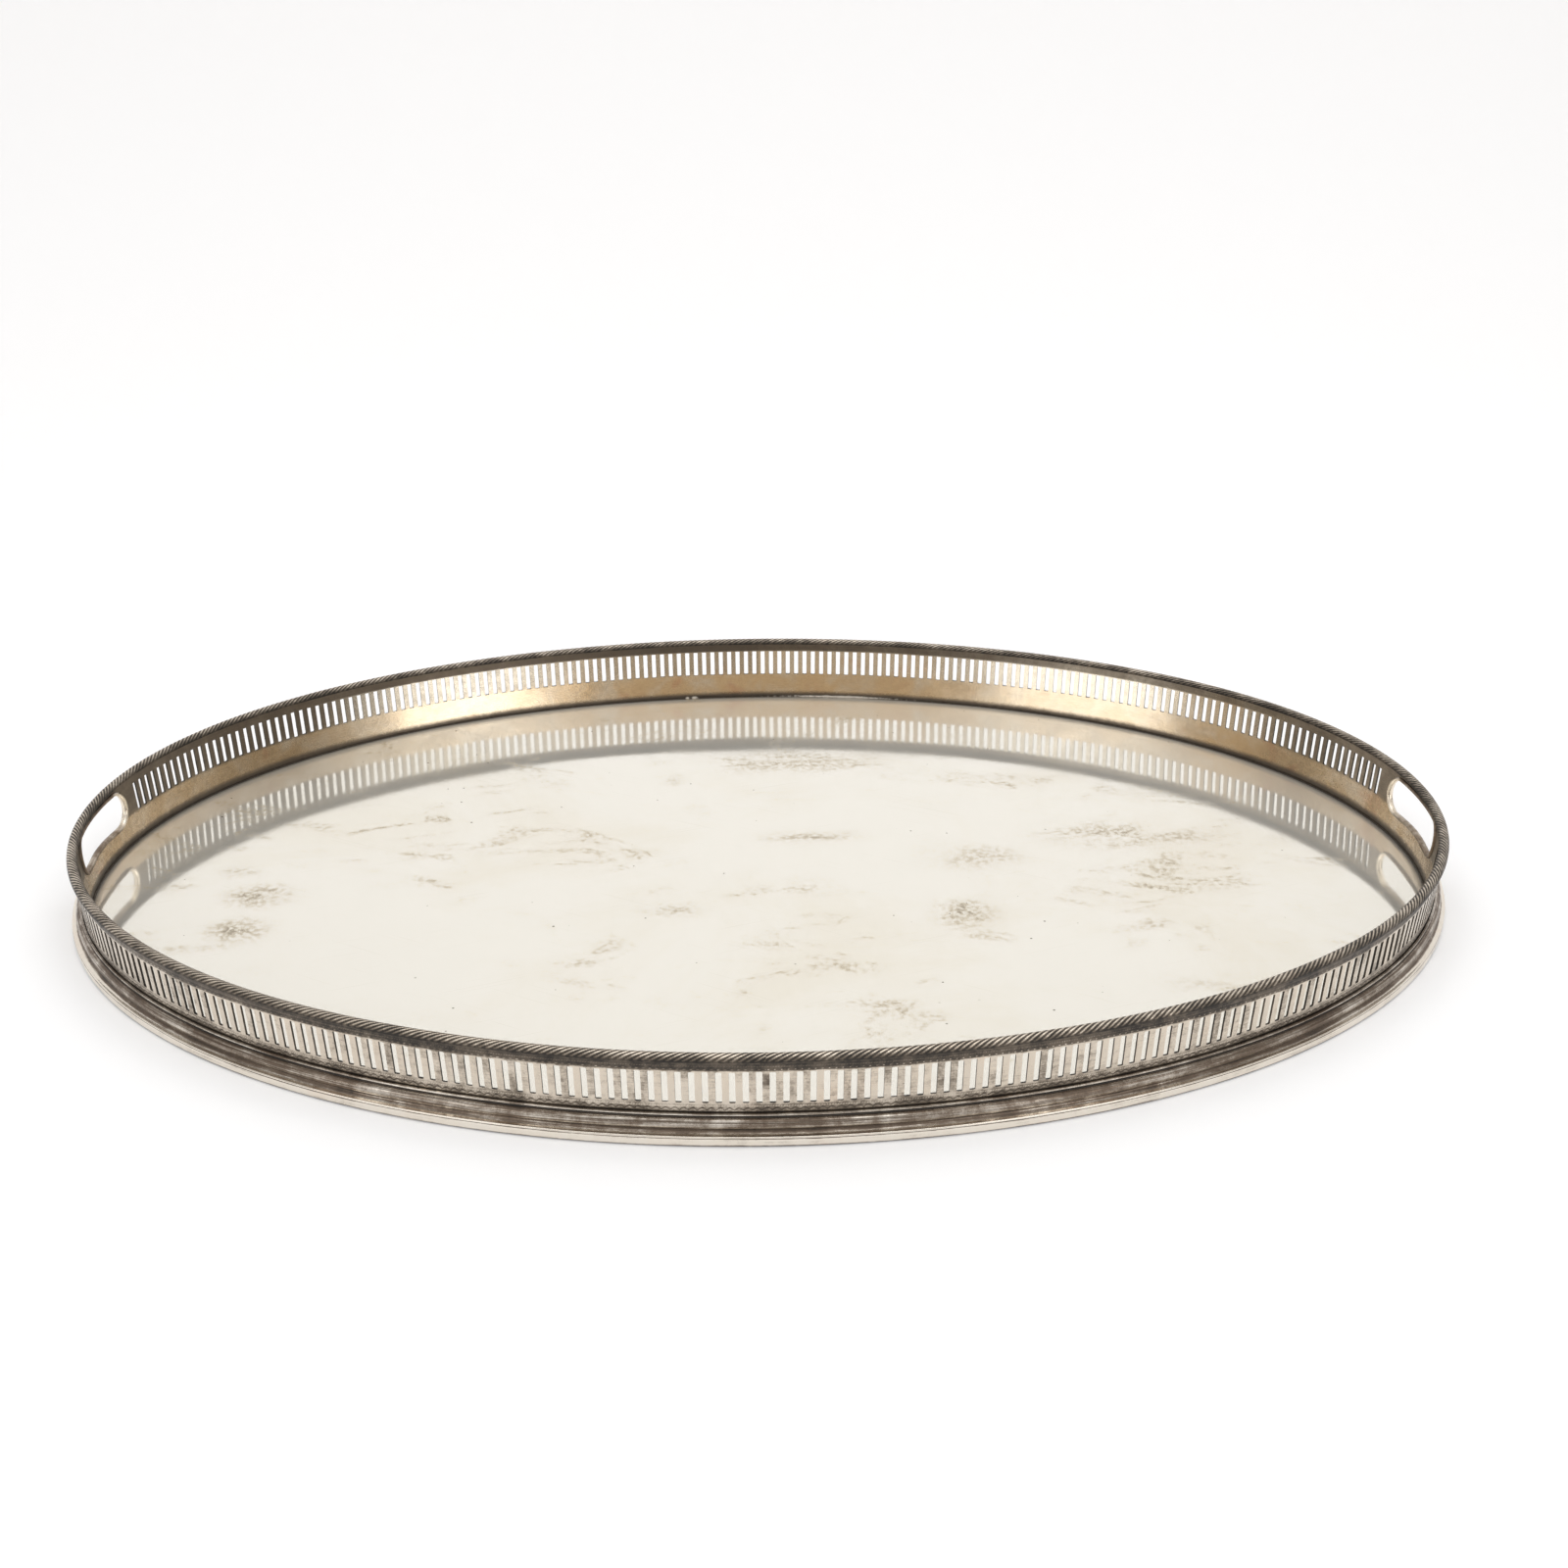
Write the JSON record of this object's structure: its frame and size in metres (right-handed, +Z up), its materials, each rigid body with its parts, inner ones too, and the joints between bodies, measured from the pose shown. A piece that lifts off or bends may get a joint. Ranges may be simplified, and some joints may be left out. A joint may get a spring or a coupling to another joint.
{
  "type": "vanity tray",
  "caption": "Large oval silver-plated tray with a pierced gallery wall, a gadroon border, a stepped foot moulding and a bound hand hole at each end.",
  "frame": {"origin": "on the surface the tray stands on, under the middle of the plate", "axes": "+X along the tray's length through the hand holes, +Y towards the back seam, +Z up"},
  "size_m": [0.6, 0.424, 0.035],
  "materials": {
    "plate_silver": "silver plate, polished, worn and lightly tarnished",
    "gallery_silver": "silver plate, tarnished grey-brown outside and straw-coloured inside",
    "wire_silver": "silver plate, worn bright by hands",
    "border_silver": "silver plate, dark in the hollows and bright on the ridges",
    "foot_silver": "silver plate, warm brown tarnish between bright edges"
  },
  "bodies": {
    "root": {"tray_plate": "plate_silver", "gallery_strip_right": "gallery_silver", "gallery_strip_left": "gallery_silver", "handle_edge_wire_right": "wire_silver", "handle_edge_wire_left": "wire_silver", "gadroon_border_right": "border_silver", "gadroon_border_left": "border_silver", "foot_moulding_right": "foot_silver", "foot_moulding_left": "foot_silver"}
  },
  "joints": []
}
